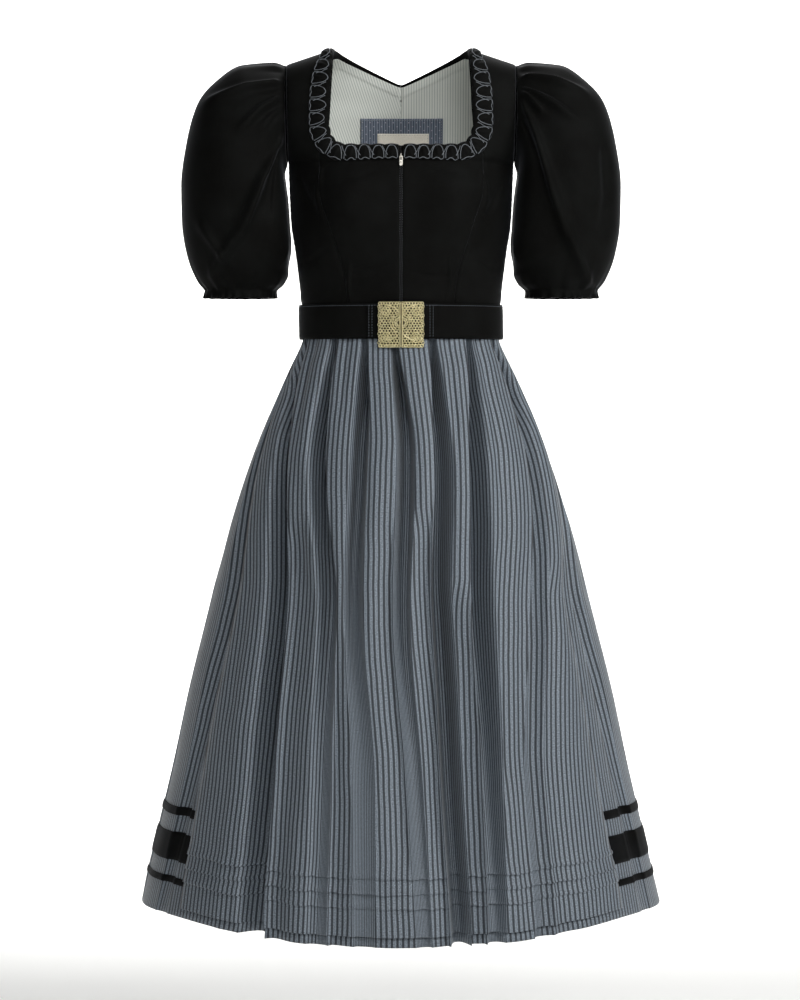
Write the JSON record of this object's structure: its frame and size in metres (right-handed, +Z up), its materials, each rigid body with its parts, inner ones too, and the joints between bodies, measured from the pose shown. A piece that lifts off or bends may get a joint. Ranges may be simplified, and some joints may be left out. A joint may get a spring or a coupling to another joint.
{
  "type": "velvet dirndl, a folk dress with its own apron and belt",
  "caption": "Folk dress in its worn form: velvet bodice with ruched neck and puff sleeves, pleated striped skirt with ribbons, tucked apron, velvet belt with a clasp.",
  "frame": {"origin": "midway between the tops of the two shoulders, where the wearer holds the dress up", "axes": "+Z up, the front faces -Y, +X towards the wearer's left arm"},
  "size_m": [0.6816, 0.5949, 1.1293],
  "materials": {
    "velvet": "black cotton velvet, deep and matt with a soft sheen at its edges",
    "velvet_ribbon": "black velvet ribbon",
    "striped_cotton": "slate-grey cotton with narrow dark woven stripes, slightly satin",
    "lining": "cream cotton lining with fine dark pinstripes",
    "patch": "slate-blue printed cotton",
    "label": "plain cream woven label",
    "zip_tape": "black woven zip tape",
    "brass": "pale, lightly aged brass",
    "zip_metal": "light zinc alloy"
  },
  "bodies": {
    "dress": {"bodice_front_side_left": "velvet", "bodice_front_side_right": "velvet", "bodice_front_centre_left": "velvet", "bodice_front_centre_right": "velvet", "bodice_back_left": "velvet", "bodice_back_right": "velvet", "lining_back_left": "lining", "lining_back_right": "lining", "lining_patch": "patch", "label": "label", "neck_trim_left": "velvet", "neck_trim_right": "velvet", "sleeve_left": "velvet", "sleeve_right": "velvet", "belt": "velvet", "clasp_left": "brass", "clasp_right": "brass", "zip_tape": "zip_tape", "zip_slider": "zip_metal", "skirt_front": "striped_cotton", "skirt_back": "striped_cotton", "ribbon_top": "velvet_ribbon", "ribbon_middle": "velvet_ribbon", "ribbon_bottom": "velvet_ribbon", "apron": "striped_cotton"},
    "pull": {"zip_pull": "zip_metal"}
  },
  "joints": [
    {"name": "zip_pull_hinge", "type": "hinge", "parent": "dress", "child": "pull", "pos_m": [0, -0.10168, -0.13405], "axis": [-1, 0, 0], "range_deg": [0, 150]}
  ]
}
